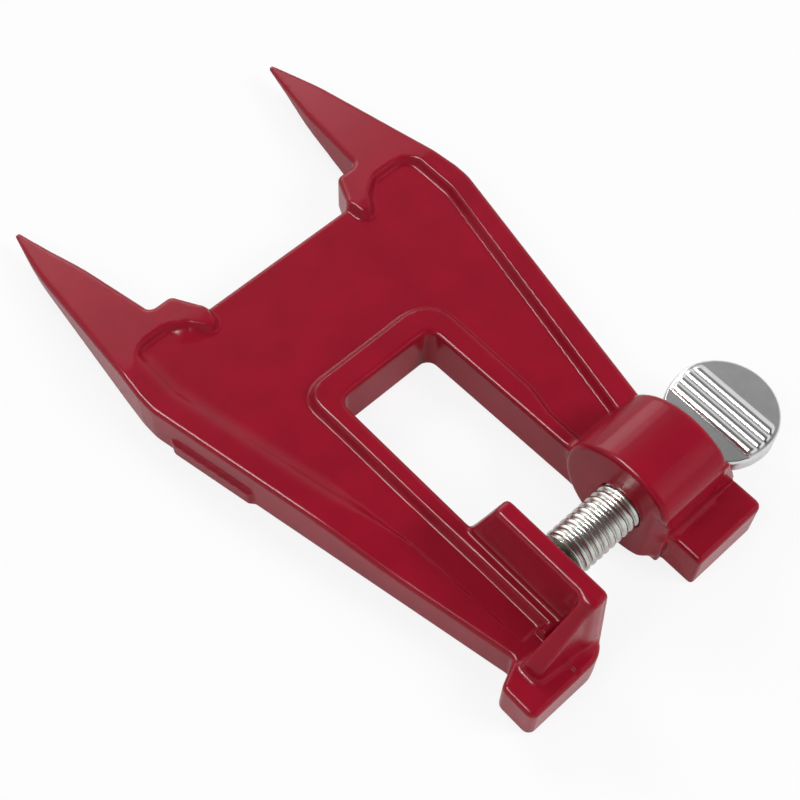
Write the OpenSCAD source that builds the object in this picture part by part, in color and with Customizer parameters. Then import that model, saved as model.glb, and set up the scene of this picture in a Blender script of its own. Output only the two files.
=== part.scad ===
// Stump vise for holding a chainsaw guide bar while its chain is filed.
// The casting is driven into a log by its two spikes, and the thumb screw
// presses the bar against the fixed jaw. It is drawn lying flat on a table,
// spikes towards +Y, the screw along X, with the paddle at the +X end.

/* [Casting] */
// Length from the hammer faces to the spike tips
casting_l = 187.4; // [170:0.2:210]
// Thickness over the raised rims
casting_t = 15.6; // [13:0.2:18]
// Depth of the web below the rims, on each side
web_recess = 2.7; // [1.5:0.1:4]
// Distance of the fixed jaw side's shoulder from the centre line
shoulder_left = 53.4; // [50:0.2:58]
// Distance of the screw side's shoulder from the centre line
shoulder_right = 54.4; // [50:0.2:58]
// Distance of the shoulders from the hammer faces
shoulder_y = 119.5; // [112:0.5:124]
// Length of the straight piece at the tip of each shoulder
shoulder_l = 5; // [2:0.5:8]
// Radius of the shoulder corners
shoulder_r = 16; // [5:1:30]
// Distance of the fixed jaw arm's outer edge from the centre line, at its lug
arm_left = 32; // [29:0.2:35]
// Distance of the screw arm's outer edge from the centre line, at its lug
arm_right = 32.7; // [29:0.2:35]
// Distance of the web's front edge from the hammer faces
front_y = 132; // [126:0.5:138]
// Distance of the raised side field's two ends from the hammer faces
side_field = [86, 112]; // [80:1:118]
// Height of the raised side field over the arm's side
side_field_h = 0.9; // [0.4:0.1:1.2]
// Height of that field's upper edge over the table
side_field_top = 6.6; // [5:0.1:8]

/* [Spikes] */
// Distance between the two spike tips
tip_spacing = 88.4; // [84:0.2:92]
// Width of each tip
tip_w = 1.2; // [0.8:0.1:3]
// Thickness of each tip
tip_t = 1.2; // [0.8:0.1:3]
// Height of the tips' middle over the table
tip_z = 6.3; // [5:0.1:8]
// Length over which a spike thins down to its tip
taper_l = 58; // [45:0.5:60]
// Distance of a spike's inner root corner from the centre line
spike_root_x = 35; // [32:0.2:38]
// Sag of a spike's inner edge against a straight line
spike_hollow = 0.6; // [0.1:0.1:1.5]
// Place of that sag along the spike, as a share of its length
spike_hollow_at = 0.53; // [0.4:0.01:0.6]
// Bulge of a spike's outer edge against a straight line
spike_bulge = 1.7; // [0.4:0.1:2.4]
// Place of that bulge, as a share of the way from the tip to the shoulder
spike_bulge_at = 0.21; // [0.15:0.01:0.3]
// Radius of the sweep along a spike's inner edge
spike_inner_r = 100; // [60:5:150]
// Radius of the sweep along a spike's outer edge
spike_outer_r = 80; // [60:5:150]
// Radius of the root corner between a spike and its depth stop
spike_root_r = 1.8; // [1:0.1:3]

/* [Depth stops] */
// Height of the stop beside each spike over the front edge
stop_h = 8.8; // [6:0.1:12]
// Distance of a stop's top corner from the centre line
stop_top_x = 28.4; // [26:0.2:31]
// Distance of a stop's foot from the centre line
stop_foot_x = 24.2; // [20:0.2:25]
// Radius of a stop's top corner
stop_top_r = 2; // [1:0.1:3]
// Radius of the hollow at a stop's foot
stop_foot_r = 2.5; // [1:0.1:4]

/* [Gap between the arms] */
// Distance of the fixed jaw arm's wall from the centre line
gap_left = 17.3; // [16:0.1:19]
// Distance of the screw arm's wall from the centre line, at the closed end
gap_right = 13; // [12:0.1:14]
// Distance of the screw arm's wall from the centre line, at the boss
gap_boss = 14.4; // [13:0.1:15.5]
// Distance of the closed end from the hammer faces
gap_end_y = 88.2; // [80:0.2:94]
// Radius of the two corners at the closed end
gap_r = 3; // [1:0.5:8]
// Radius of the corner beside the fixed jaw's foot
gap_jaw_r = 0.8; // [0.4:0.1:2]

/* [Rims] */
// Width of the rim along the fixed jaw arm's wall
rim_left = 5.6; // [3:0.1:7]
// Width of that rim at the fixed jaw
rim_jaw = 4.4; // [2:0.1:5]
// Width of the rim along the screw arm's wall
rim_right = 7.3; // [3:0.1:8]
// Width of that rim at the boss
rim_boss = 4.2; // [2:0.1:5]
// Width of the rim across the closed end of the gap
rim_end = 7.9; // [4:0.1:10]
// Width of the rim along the fixed jaw arm's outer edge
rim_outer_left = 8.6; // [5:0.1:10]
// Width of the rim along the screw arm's outer edge
rim_outer_right = 8; // [5:0.1:10]
// Width of the rim at the fixed jaw side's shoulder
rim_shoulder_left = 7.4; // [4:0.1:9]
// Width of the rim at the screw side's shoulder
rim_shoulder_right = 6.8; // [4:0.1:9]
// Width of the fixed jaw arm's outer rim at its foot
rim_foot = 5; // [2:0.1:6]
// Distance past the front edge that the web reaches into a shoulder
pocket_reach = 1.8; // [1:0.1:5]
// Width of the rim beside a depth stop
stop_rim_w = 2.2; // [1:0.1:4]
// Length of the rim behind a depth stop
stop_rim_l = 9.5; // [7:0.1:12]
// Radius of the web's corners at the shoulders
web_shoulder_r = 8; // [4:0.5:12]
// Radius of the web's other wide corners
web_corner_r = 5; // [2:0.5:8]
// Radius of the web's corners round the closed end of the gap
web_gap_r = 7; // [3:0.5:10]
// Radius of the web's corner behind a depth stop
web_stop_r = 3; // [1:0.5:5]
// Distance from the boss to the bend in the screw arm's rim
neck_gap = 12; // [8:0.5:20]
// Length of that bend
neck_l = 8; // [4:0.5:12]
// Length over which the fixed jaw arm's outer rim sinks to the web
fade_l = 22; // [10:1:30]
// Height left of the jaw arm's outer rim above the web, at the jaw
rim_low = 0.25; // [0.1:0.05:1]
// Distance of the sunken end of that rim from the hammer faces
fade_y = 47; // [40:1:56]

/* [Hammer lugs] */
// Width over the two lugs
lug_w = 78; // [75:0.2:82]
// Length of each lug along the arm
lug_l = 10; // [8:0.2:10.4]
// Length over which a lug narrows to the arm
lug_slope_l = 3; // [2:0.2:5]
// Radius of a lug's outer corners
lug_r = 2; // [1:0.1:3]
// Thickness of the lugs
lug_t = 13.7; // [11:0.1:15]
// Distance of the screw side lug's inner end from the centre line
lug_inner_x = 16.3; // [15:0.1:20]
// Radius of that lug's inner corner
lug_inner_r = 1; // [0.5:0.1:3]

/* [Fixed jaw] */
// Distance of the jaw face from the centre line
jaw_face_x = 13.6; // [12:0.1:15]
// Height of the jaw plate
jaw_h = 35; // [28:0.5:40]
// Thickness of the jaw plate at its top
jaw_t = 4.5; // [3.5:0.1:6]
// Thickness of the jaw plate at its foot
jaw_foot_t = 5.1; // [4.5:0.1:7]
// Distance of the plate's foot end from the hammer faces
jaw_end_y = 41.8; // [38:0.2:48]
// Lean of that end over the height of the plate above the rim
jaw_end_lean = 6; // [0:0.5:10]
// Distance of the plate's top corner from the hammer faces
jaw_near_y = 5.5; // [4:0.1:8]
// Spread of the gusset's outer side towards its foot
jaw_near_spread = 1.8; // [0.5:0.1:3]
// Radius of the plate's two upper corners
jaw_corner_r = 1.5; // [0.5:0.1:3]
// Radius of the lug's corner below the jaw face
jaw_lug_r = 6.6; // [2:0.1:7]
// Thickness of the gusset at the plate
gusset_t = 3; // [2:0.1:4]
// Thickness of the gusset at its foot
gusset_foot_t = 5.2; // [3:0.1:7]
// Length of the gusset behind the jaw face
gusset_l = 18.8; // [12:0.2:22]
// Distance that the gusset's foot end spreads past the plate's top corner
gusset_spread = 0.4; // [0:0.1:1]
// Radius of the gusset's foot end
gusset_r = 1.5; // [0.5:0.1:2]

/* [Screw boss] */
// Outer radius of the boss
boss_r = 17.5; // [15:0.1:19]
// Distance of the boss's inner face from the centre line
boss_face_x = 11.3; // [10:0.1:12.5]
// Length of the boss along the screw
boss_l = 21.4; // [18:0.2:26]
// Distance of the screw's axis from the hammer faces
screw_y = 22.1; // [21:0.1:24]
// Distance of the boss's flat side from the screw's axis
boss_flat = 13.4; // [12:0.1:15]
// Radius between the boss's flat side and its round back
boss_flat_r = 6; // [2:0.5:8]
// Depth of the flat that the boss rests on
boss_foot = 0.15; // [0.1:0.05:0.4]
// Distance that the scoop beside the lug reaches along the boss's inner face
scoop_face_l = 4.4; // [3:0.1:6]
// Distance that the scoop reaches at its bend
scoop_bend_l = 1.6; // [1:0.1:3]
// Distance that the scoop reaches over the lug
scoop_lug_l = 0.4; // [0.2:0.1:1]
// Height of the scoop's top over the lug, at the boss's inner face
scoop_face_h = 12; // [8:0.5:14]
// Height of the scoop's top over the lug, at the lug's inner end
scoop_lug_h = 1.8; // [1:0.1:4]

/* [Clamp screw] */
// Outer diameter of the thread
thread_d = 12.5; // [10:0.1:14]
// Pitch of the thread
thread_pitch = 2.117; // [1.5:0.001:2.5]
// Depth of the thread
thread_depth = 0.75; // [0.5:0.05:1.4]
// Width of the thread's crest, as a share of the pitch
crest_share = 0.34; // [0.1:0.01:0.4]
// Width of the thread's root, as a share of the pitch
root_share = 0.16; // [0.1:0.01:0.3]
// Radial running clearance of the screw in the boss
screw_clearance = 0.05; // [0.02:0.01:0.1]
// Diameter of the neck behind the swivel head
neck_d = 5; // [4:0.1:6]
// Diameter of the swivel head
head_d = 7; // [6.4:0.1:8]
// Thickness of the swivel head
head_t = 1.5; // [1.2:0.1:2]

/* [Swivel pad] */
// Diameter of the pad
pad_d = 15; // [13.5:0.1:17]
// Thickness of the pad
pad_t = 3.6; // [3.4:0.1:4.4]
// Width of the bevel round the pad's edges
pad_bevel = 0.6; // [0.3:0.1:1]
// Thickness of the lip that holds the swivel head
lip_t = 0.9; // [0.7:0.1:1.1]
// Clearance all round the swivel head
head_clearance = 0.25; // [0.15:0.05:0.3]
// Gap that stays between the closed pad and the jaw face
closed_gap = 0.3; // [0.2:0.05:0.6]

/* [Thumb paddle] */
// Diameter of the paddle's disc
paddle_d = 28.4; // [24:0.2:32]
// Thickness of the disc
paddle_t = 6; // [5.4:0.1:8]
// Radius of the disc's edge
paddle_edge_r = 1.4; // [0.5:0.1:2.4]
// Gap that stays between the closed paddle and the boss
paddle_gap = 0.3; // [0.2:0.05:1]
// Number of grip ribs on each side
rib_count = 4; // [3:1:5]
// Distance from rib to rib
rib_pitch = 2.5; // [2:0.1:2.8]
// Height of the ribs
rib_h = 0.6; // [0.3:0.05:0.9]
// Radius of the ribs' round backs
rib_r = 1.5; // [1:0.05:2]
// Distance of the first rib from the disc's far edge
rib_start = 9.75; // [8:0.05:12]
// Distance of the ribs' ends from the disc's edge
rib_inset = 1.3; // [0.4:0.1:2]
// Depth of the lowered field between the ribs and the hub
field_drop = 0.7; // [0.3:0.05:1]
// Diameter of the hub
hub_d = 11.4; // [10.4:0.2:14]
// Length of the hub's straight part
hub_l = 2.6; // [2:0.1:4]
// Length of the hub's taper
hub_taper_l = 2.2; // [2:0.1:6]
// Thickness of the hub's wall where the taper ends in the disc
hub_end_t = 0.4; // [0.3:0.1:1]
// Diameter of the screw's thick end in the hub
shank_d = 8; // [7:0.1:9]
// Length of the screw's thick end in the hub
shank_l = 2.6; // [2:0.1:3]
// Diameter of the screw's thin end in the disc
tang_d = 3.6; // [3:0.1:4]
// Length of the screw's thin end
tang_l = 8; // [5:0.1:10]
// Clearance of the screw's end in the paddle
socket_clearance = 0.02; // [0.01:0.01:0.05]

/* [Hidden] */

$fn = 96;
chords = 6;
boss_chords = 40;
over = 1;

paint_red = [0.60, 0.08, 0.14];
zinc = [0.72, 0.73, 0.70];
chrome = [0.80, 0.81, 0.82];

// Heights and places of the casting
web_z = casting_t - web_recess;
screw_z = boss_r - boss_foot;
boss_far_x = boss_face_x + boss_l;
boss_end_y = screw_y + boss_r;
flat_y = screw_y - boss_flat;
jaw_back_x = jaw_face_x + jaw_t;
jaw_foot_x = jaw_face_x + jaw_foot_t;
lug_root_y = lug_l + lug_slope_l;
stop_top_y = front_y + stop_h;
pocket_top_y = front_y + pocket_reach;
neck_y = boss_end_y + neck_gap;
taper_y = casting_l - taper_l;
tip_in = (tip_spacing - tip_w) / 2;
tip_out = (tip_spacing + tip_w) / 2;

// Places along the screw, all at the closed position
pad_face_x = -jaw_face_x + closed_gap;
pad_back_x = pad_face_x + pad_t;
head_back_x = pad_back_x - lip_t - head_clearance;
thread_tip_x = pad_back_x + closed_gap;
hub_x = boss_far_x + paddle_gap;
paddle_x = hub_x + paddle_d / 2;

// The bottom centre of the whole part's box is the origin
reach_x = paddle_x + paddle_d / 2;
origin = [(reach_x - shoulder_left) / 2, casting_l / 2, 0];

// Outline corners are [x, y, radius], and each radius becomes an arc of short chords
corner_room = 0.49;
function unit(v) = v / norm(v);
function wrap(a) = a > 180 ? a - 360 : a < -180 ? a + 360 : a;
function flat2(p) = [p.x, p.y];
function mix(a, b, t) = a + (b - a) * t;
function arc(c, r, a0, a1, n) = [for (i = [0:n]) c + r * [cos(mix(a0, a1, i / n)), sin(mix(a0, a1, i / n))]];
function corner(before, at, after) =
    let (p = flat2(at),
         u = unit(flat2(before) - p),
         w = unit(flat2(after) - p),
         half = acos(max(-1, min(1, u * w))) / 2,
         room = corner_room * min(norm(flat2(before) - p), norm(flat2(after) - p)),
         r = min(at.z, room * tan(half)))
    at.z <= 0 ? [p] :
    let (c = p + unit(u + w) * r / sin(half),
         s = p + u * r / tan(half) - c,
         e = p + w * r / tan(half) - c,
         a0 = atan2(s.y, s.x),
         turn = wrap(atan2(e.y, e.x) - a0))
    arc(c, r, a0, a0 + turn, chords);
function rounded(list) =
    let (n = len(list))
    [for (i = [0:n - 1]) each corner(list[(i + n - 1) % n], list[i], list[(i + 1) % n])];
function mirrored(list) = [for (i = [len(list) - 1:-1:0]) [-list[i].x, list[i].y, list[i].z]];

// The outer edge of an arm is a straight line from its lug to its shoulder
arm_top_y = shoulder_y - shoulder_l / 2;
function edge_x(arm, shoulder, y) = mix(arm, shoulder, (y - lug_root_y) / (arm_top_y - lug_root_y));
function left_x(y) = edge_x(arm_left, shoulder_left, y);
function right_x(y) = edge_x(arm_right, shoulder_right, y);

// A spike's inner edge is slightly hollow and its outer edge bulges near the tip
spike_inner =
    mix([spike_root_x, stop_top_y], [tip_in, casting_l], spike_hollow_at) - [2 * spike_hollow, 0];
function spike_outer(shoulder) =
    mix([tip_out, casting_l], [shoulder, shoulder_y], spike_bulge_at) + [spike_bulge, 0];

// The edge of one side, from the web's front edge round to the lug's hammer face
function side_edge(shoulder, foot) = [
    [stop_foot_x, front_y, stop_foot_r],
    [stop_top_x, stop_top_y, stop_top_r],
    [spike_root_x, stop_top_y, spike_root_r],
    [spike_inner.x, spike_inner.y, spike_inner_r],
    [tip_in, casting_l, 0],
    [tip_out, casting_l, 0],
    [spike_outer(shoulder).x, spike_outer(shoulder).y, spike_outer_r],
    [shoulder, shoulder_y + shoulder_l / 2, shoulder_r],
    [shoulder, arm_top_y, shoulder_r],
    each foot,
    [lug_w / 2, lug_l, lug_r],
    [lug_w / 2, 0, lug_r]
];

// The screw arm steps in behind the boss, which leaves the paddle room to turn
step_l = 3;
step_y = boss_end_y - 0.5;
foot_r = 1.5;
right_foot = [
    [right_x(step_y), step_y, foot_r],
    [boss_far_x, step_y - step_l, foot_r],
    [boss_far_x, lug_root_y, foot_r]
];
left_foot = [[arm_left, lug_root_y, foot_r]];

// The edge of the gap, from the screw side's lug round to the fixed jaw's foot
gap_edge = [
    [lug_inner_x, 0, lug_inner_r],
    [lug_inner_x, flat_y + over, 0],
    [gap_boss, flat_y + over, 0],
    [gap_boss, boss_end_y, 0],
    [gap_right, gap_end_y, gap_r],
    [-gap_left, gap_end_y, gap_r],
    [-gap_left, jaw_end_y, gap_jaw_r],
    [-jaw_face_x, jaw_end_y, 0],
    [-jaw_face_x, 0, jaw_lug_r]
];

// The sunken web's edge, round both shoulders and behind the depth stops
function stop_side(shoulder) = [
    [shoulder, arm_top_y, web_shoulder_r],
    [shoulder, pocket_top_y, web_corner_r],
    [spike_root_x, pocket_top_y, web_corner_r],
    [stop_top_x + stop_rim_w, stop_top_y - stop_rim_l, web_stop_r],
    [stop_foot_x + stop_rim_w, front_y - stop_rim_l, web_stop_r / 2],
    [stop_foot_x + stop_rim_w / 2, front_y + over, 0]
];
function web_edge() = rounded(concat(
    [
        [gap_boss + rim_boss, screw_y, 0],
        [right_x(screw_y) - rim_outer_right, screw_y, 0]
    ],
    stop_side(shoulder_right - rim_shoulder_right),
    mirrored(stop_side(shoulder_left - rim_shoulder_left)),
    [
        [-left_x(fade_y) + rim_outer_left, fade_y, 0],
        [-left_x(lug_root_y) + rim_foot, lug_root_y, 0],
        [-gap_left - rim_jaw, lug_root_y, 0],
        [-gap_left - rim_left, gap_end_y + rim_end, web_gap_r],
        [gap_right + rim_right, gap_end_y + rim_end, web_gap_r],
        [gap_right + rim_right, neck_y + neck_l, web_corner_r],
        [gap_boss + rim_boss, neck_y, web_corner_r]
    ]
));

// A prism along X from a section drawn in Y and Z
module prism_x(section, x0, x1) {
    translate([x0, 0, 0])
        rotate([90, 0, 90])
            linear_extrude(x1 - x0) polygon(section);
}

// A prism along Y from a section drawn in X and Z
module prism_y(section, y0, y1) {
    translate([0, y1, 0])
        rotate([90, 0, 0])
            linear_extrude(y1 - y0) polygon(section);
}

// A turned shape along X from a section drawn in X and radius
module turned_x(section) {
    rotate([0, 90, 0])
        rotate_extrude() polygon([for (p = section) [p.y, p.x]]);
}

// The flat body: arms, shoulders, depth stops and the spikes, which thin down to their tips
module body_plan() {
    outline = rounded(concat(
        side_edge(shoulder_right, right_foot),
        gap_edge,
        mirrored(side_edge(shoulder_left, left_foot))
    ));
    intersection() {
        linear_extrude(casting_t) polygon(outline);
        prism_x([
            [-over, 0],
            [taper_y, 0],
            [casting_l, tip_z - tip_t / 2],
            [casting_l + over, tip_z - tip_t / 2],
            [casting_l + over, tip_z + tip_t / 2],
            [casting_l, tip_z + tip_t / 2],
            [taper_y, casting_t],
            [-over, casting_t]
        ], -casting_l, casting_l);
    }
}

// The web is sunk below the rims from above and from below
module web_pockets() {
    for (z = [web_z, -over])
        translate([0, 0, z])
            linear_extrude(web_recess + over) polygon(web_edge());
}

// The fixed jaw arm's outer rim sinks to the web, and both lugs are lower than the rims
module rim_fade() {
    low = web_z + rim_low;
    prism_x([
        [-over, low],
        [fade_y, low],
        [fade_y + fade_l, casting_t],
        [fade_y + fade_l, casting_t + over],
        [-over, casting_t + over]
    ], -casting_l, -gap_left - rim_left - over);
}

module lug_step() {
    translate([-casting_l, -over, lug_t])
        cube([2 * casting_l, lug_root_y - lug_r + over, casting_t]);
}

module lug_pad(inner_x, inner_r, arm_x) {
    linear_extrude(lug_t)
        polygon(rounded([
            [inner_x, 0, inner_r],
            [lug_w / 2, 0, lug_r],
            [lug_w / 2, lug_l, lug_r],
            [arm_x, lug_root_y, 0],
            [inner_x, lug_root_y, 0]
        ]));
}

module lug_pads() {
    mirror([1, 0, 0]) lug_pad(jaw_face_x, jaw_lug_r, arm_left);
    lug_pad(lug_inner_x, lug_inner_r, boss_far_x);
}

// A plain raised field on the outer side of the fixed jaw arm
module side_field_pad() {
    y0 = side_field[0];
    y1 = side_field[1];
    ramp = 2 * side_field_h;
    linear_extrude(side_field_top)
        polygon([
            [-left_x(y0), y0],
            [-left_x(y0) + over, y0],
            [-left_x(y1) + over, y1],
            [-left_x(y1), y1],
            [-left_x(y1 - ramp) - side_field_h, y1 - ramp],
            [-left_x(y0 + ramp) - side_field_h, y0 + ramp]
        ]);
}

// The jaw plate stands on the arm's rim and leans back at its far end
module jaw_plate() {
    intersection() {
        prism_y([
            [-jaw_face_x, 0],
            [-jaw_face_x, jaw_h],
            [-jaw_back_x, jaw_h],
            [-jaw_foot_x, casting_t],
            [-jaw_foot_x, 0]
        ], 0, jaw_end_y + over);
        prism_x(rounded([
            [jaw_lug_r, 0, 0],
            [jaw_end_y, 0, 0],
            [jaw_end_y, casting_t, 0],
            [jaw_end_y - jaw_end_lean, jaw_h, jaw_corner_r],
            [jaw_near_y, jaw_h, jaw_corner_r],
            [jaw_near_y - jaw_near_spread, lug_t, 0],
            [jaw_near_y - jaw_near_spread, lug_t - over, 0],
            [jaw_lug_r, lug_t - over, 0]
        ]), -jaw_foot_x - over, -jaw_face_x + over);
    }
}

// The gusset's ridge slopes from the plate's top corner down to the arm
module gusset() {
    drop = jaw_h - casting_t;
    run = gusset_l - jaw_t;
    slope = atan2(drop, run);
    outward = jaw_near_spread * jaw_h / (cos(slope) * (jaw_h - lug_t));
    foot_x = -jaw_face_x - gusset_l;
    intersection() {
        translate([-jaw_back_x, 0, jaw_h])
            rotate([0, 270 - slope, 0])
                translate([0, 0, -jaw_h])
                    linear_extrude(3 * jaw_h)
                        polygon([
                            [0, jaw_near_y],
                            [-jaw_h, jaw_near_y - outward],
                            [-jaw_h, jaw_end_y],
                            [0, jaw_end_y]
                        ]);
        translate([0, 0, web_z - over])
            linear_extrude(jaw_h - web_z + over)
                polygon(rounded([
                    [-jaw_face_x, 0, 0],
                    [-jaw_face_x, jaw_near_y + gusset_t, 0],
                    [-jaw_back_x, jaw_near_y + gusset_t, 0],
                    [foot_x, jaw_near_y + gusset_foot_t, gusset_r],
                    [foot_x, jaw_near_y - gusset_spread, gusset_r],
                    [foot_x + gusset_r, 0, 0]
                ]));
    }
}

// The boss is a drum along the screw, flattened towards the lug and rounded into the flat
function boss_section() =
    let (c = [screw_y, screw_z],
         rise = sqrt(pow(boss_r - boss_flat_r, 2) - pow(boss_flat - boss_flat_r, 2)),
         meet = atan2(rise, boss_flat_r - boss_flat),
         foot = acos(screw_z / boss_r))
    concat(
        arc(c, boss_r, foot - 90, meet, boss_chords),
        arc(c + [boss_flat_r - boss_flat, rise], boss_flat_r, meet, 180, chords),
        arc(c + [boss_flat_r - boss_flat, -rise], boss_flat_r, 180, 360 - meet, chords),
        arc(c, boss_r, 360 - meet, 270 - foot, chords)
    );

// A scoop takes the drum's corner off between its inner face and the lug
module scoop() {
    scoop_l = lug_inner_x - boss_face_x;
    rise = over * (scoop_face_h - scoop_lug_h) / scoop_l;
    intersection() {
        translate([0, 0, -over])
            linear_extrude(2 * boss_r)
                polygon([
                    [boss_face_x - over, flat_y - over],
                    [lug_inner_x, flat_y - over],
                    [lug_inner_x, flat_y + scoop_lug_l],
                    [boss_face_x + 2 * scoop_l / 5, flat_y + scoop_bend_l],
                    [boss_face_x, flat_y + scoop_face_l],
                    [boss_face_x - over, flat_y + scoop_face_l]
                ]);
        prism_y([
            [boss_face_x - over, -over],
            [lug_inner_x + over, -over],
            [lug_inner_x + over, lug_t + scoop_lug_h - rise],
            [boss_face_x - over, lug_t + scoop_face_h + rise]
        ], 0, screw_y);
    }
}

module boss() {
    difference() {
        prism_x(boss_section(), boss_face_x, boss_far_x);
        scoop();
    }
}

module vise_frame() {
    color(paint_red)
        translate(-origin)
            difference() {
                union() {
                    difference() {
                        body_plan();
                        web_pockets();
                        rim_fade();
                        lug_step();
                    }
                    lug_pads();
                    side_field_pad();
                    jaw_plate();
                    gusset();
                    boss();
                }
                translate([boss_face_x - over, screw_y, screw_z])
                    rotate([0, 90, 0])
                        cylinder(h = boss_l + 2 * over, r = thread_d / 2 + screw_clearance);
            }
}

// The stud carries ring shaped thread crests from its tip to the paddle's hub
module clamp_screw() {
    crest_r = thread_d / 2;
    root_r = crest_r - thread_depth;
    crests = floor((hub_x - thread_tip_x) / thread_pitch);
    first_x = hub_x - crests * thread_pitch;
    profile = [
        [root_share / 2, root_r],
        [(1 - crest_share) / 2, crest_r],
        [(1 + crest_share) / 2, crest_r],
        [1 - root_share / 2, root_r]
    ];
    color(zinc)
        translate([0, screw_y, screw_z] - origin)
            turned_x(concat(
                [
                    [head_back_x - head_t, 0],
                    [head_back_x - head_t, head_d / 2],
                    [head_back_x, head_d / 2],
                    [head_back_x, neck_d / 2],
                    [thread_tip_x, neck_d / 2],
                    [thread_tip_x, root_r]
                ],
                [for (i = [0:crests - 1], p = profile) [first_x + (i + p.x) * thread_pitch, p.y]],
                [
                    [hub_x, root_r],
                    [hub_x, shank_d / 2],
                    [hub_x + shank_l, shank_d / 2],
                    [hub_x + shank_l, tang_d / 2],
                    [hub_x + shank_l + tang_l, tang_d / 2],
                    [hub_x + shank_l + tang_l, 0]
                ]
            ));
}

// The pad is rolled over the screw's head, so it slides along but doesn't turn
module swivel_pad() {
    hollow_x = head_back_x - head_t - head_clearance;
    pad_r = pad_d / 2;
    hole_r = neck_d / 2 + head_clearance;
    hollow_r = head_d / 2 + head_clearance;
    color(zinc)
        translate([0, screw_y, screw_z] - origin)
            turned_x([
                [pad_face_x, 0],
                [pad_face_x, pad_r - pad_bevel],
                [pad_face_x + pad_bevel, pad_r],
                [pad_back_x - pad_bevel, pad_r],
                [pad_back_x, pad_r - pad_bevel],
                [pad_back_x, hole_r],
                [pad_back_x - lip_t, hole_r],
                [pad_back_x - lip_t, hollow_r],
                [hollow_x, hollow_r],
                [hollow_x, 0]
            ]);
}

// The disc's rim is round, with lowered fields beside the hub
module paddle_disc() {
    half_t = paddle_t / 2;
    field_t = paddle_t - 2 * field_drop;
    field_edge_x = paddle_d / 2 - rib_start - (rib_count - 1) * rib_pitch - rib_r;
    difference() {
        rotate_extrude()
            polygon(rounded([
                [0, -half_t, 0],
                [paddle_d / 2, -half_t, paddle_edge_r],
                [paddle_d / 2, half_t, paddle_edge_r],
                [0, half_t, 0]
            ]));
        for (z = [field_t / 2, -field_t / 2 - paddle_t])
            translate([field_edge_x - paddle_d, -paddle_d, z])
                cube([paddle_d, 2 * paddle_d, paddle_t]);
    }
}

module paddle_ribs() {
    intersection() {
        union()
            for (side = [-1, 1], i = [0:rib_count - 1])
                translate([
                    paddle_d / 2 - rib_start - i * rib_pitch,
                    0,
                    side * (paddle_t / 2 + rib_h - rib_r)
                ])
                    rotate([90, 0, 0]) cylinder(h = paddle_d, r = rib_r, center = true);
        cylinder(h = paddle_t + 2 * rib_h + over, r = paddle_d / 2 - rib_inset, center = true);
    }
}

module thumb_paddle() {
    shank_r = shank_d / 2 + socket_clearance;
    shank_x = hub_x + shank_l + socket_clearance;
    tang_r = tang_d / 2 + socket_clearance;
    color(chrome)
        translate([0, screw_y, screw_z] - origin)
            difference() {
                union() {
                    translate([paddle_x, 0, 0]) paddle_disc();
                    translate([paddle_x, 0, 0]) paddle_ribs();
                    turned_x([
                        [hub_x, 0],
                        [hub_x, hub_d / 2],
                        [hub_x + hub_l, hub_d / 2],
                        [hub_x + hub_l + hub_taper_l, tang_d / 2 + hub_end_t],
                        [hub_x + hub_l + hub_taper_l, 0]
                    ]);
                }
                turned_x([
                    [hub_x - over, 0],
                    [hub_x - over, shank_r],
                    [shank_x, shank_r],
                    [shank_x, tang_r],
                    [shank_x + tang_l, tang_r],
                    [shank_x + tang_l, 0]
                ]);
            }
}

vise_frame();
clamp_screw();
swivel_pad();
thumb_paddle();
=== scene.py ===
"""Chainsaw stump vise: the looks of its cast frame, clamp screw, swivel pad and thumb paddle."""

import math

import bmesh
import bpy
import numpy as np
from bpy.props import FloatProperty, FloatVectorProperty, IntProperty, PointerProperty
from mathutils import Matrix


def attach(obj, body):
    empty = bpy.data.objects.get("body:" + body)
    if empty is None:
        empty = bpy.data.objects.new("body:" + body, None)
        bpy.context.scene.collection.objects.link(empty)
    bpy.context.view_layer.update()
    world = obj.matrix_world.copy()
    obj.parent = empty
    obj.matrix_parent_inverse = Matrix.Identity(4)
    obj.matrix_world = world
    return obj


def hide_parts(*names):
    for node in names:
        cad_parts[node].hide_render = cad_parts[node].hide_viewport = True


bl_info = {
    "name": "Stump Vise",
    "version": (1, 0, 0),
    "blender": (4, 5, 0),
    "location": "3D View > Sidebar > Stump Vise",
    "description": "Dresses the frame of a chainsaw stump vise with its casting, screw, pad and paddle",
    "category": "Object",
}

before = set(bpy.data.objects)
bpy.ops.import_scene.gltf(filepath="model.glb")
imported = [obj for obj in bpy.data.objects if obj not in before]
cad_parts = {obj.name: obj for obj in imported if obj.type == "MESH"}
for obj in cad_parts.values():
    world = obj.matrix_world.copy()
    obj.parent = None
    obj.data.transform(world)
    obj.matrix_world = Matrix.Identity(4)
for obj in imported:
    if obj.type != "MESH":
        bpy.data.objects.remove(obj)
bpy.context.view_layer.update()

MM = 0.001

# Up to the stage, sizes are in millimetres in the drawing's frame: X across the vise, Y along it from
# the hammer faces to the spikes, and Z up from the floor. ORIGIN is the part's own origin there. A
# range is a pair of numbers: where a change begins and where it is complete
ORIGIN = np.array([4.0, 93.7, 0.0])

# The casting's length, the height of its rims and the depth of its web below them
LENGTH = 187.4
RIM_TOP = 15.6
WEB_DEPTH = 2.7
WEB_TOP = RIM_TOP - WEB_DEPTH

# The screw's axis
SCREW_Y = 22.1
SCREW_Z = 17.35

# The boss: a drum round the screw with a flat side towards its lug
BOSS_NEAR = 11.3
BOSS_FAR = 32.7
BOSS_RADIUS = 17.5
BOSS_FLAT = 12.6
BOSS_CORNER = 7.0
BORE_RADIUS = 6.3

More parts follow.
